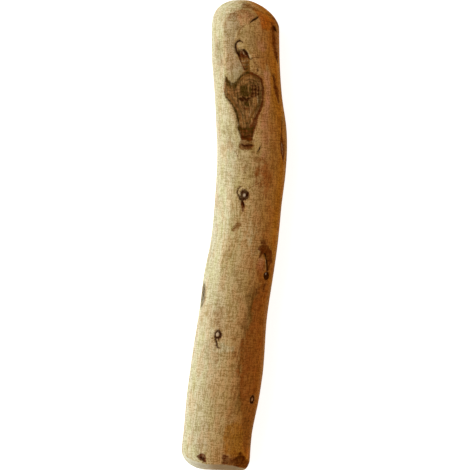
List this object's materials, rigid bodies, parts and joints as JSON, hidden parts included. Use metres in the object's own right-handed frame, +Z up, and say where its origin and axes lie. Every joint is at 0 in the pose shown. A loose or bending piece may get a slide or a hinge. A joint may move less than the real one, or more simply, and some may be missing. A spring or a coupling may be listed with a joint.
{
  "type": "olive wood chew stick",
  "caption": "Debarked length of olive branch for chewing, gently bowed, with rounded ends, a side branch's scar and bud knots, lying on its side.",
  "frame": {"origin": "middle of the stick's length and width, on the surface that it lies on", "axes": "+Y along the stick towards its domed tip, +Z up through the branch scar, +X to the side that the stick bows towards"},
  "size_m": [0.0368, 0.2, 0.0301],
  "materials": {
    "olive_wood": "debarked and lightly sanded olive wood, dry and unvarnished: cream sapwood on one side shading to orange brown on the other, dark brown at the knots and the branch scar, satin"
  },
  "bodies": {
    "root": {"stick": "olive_wood"}
  },
  "joints": []
}
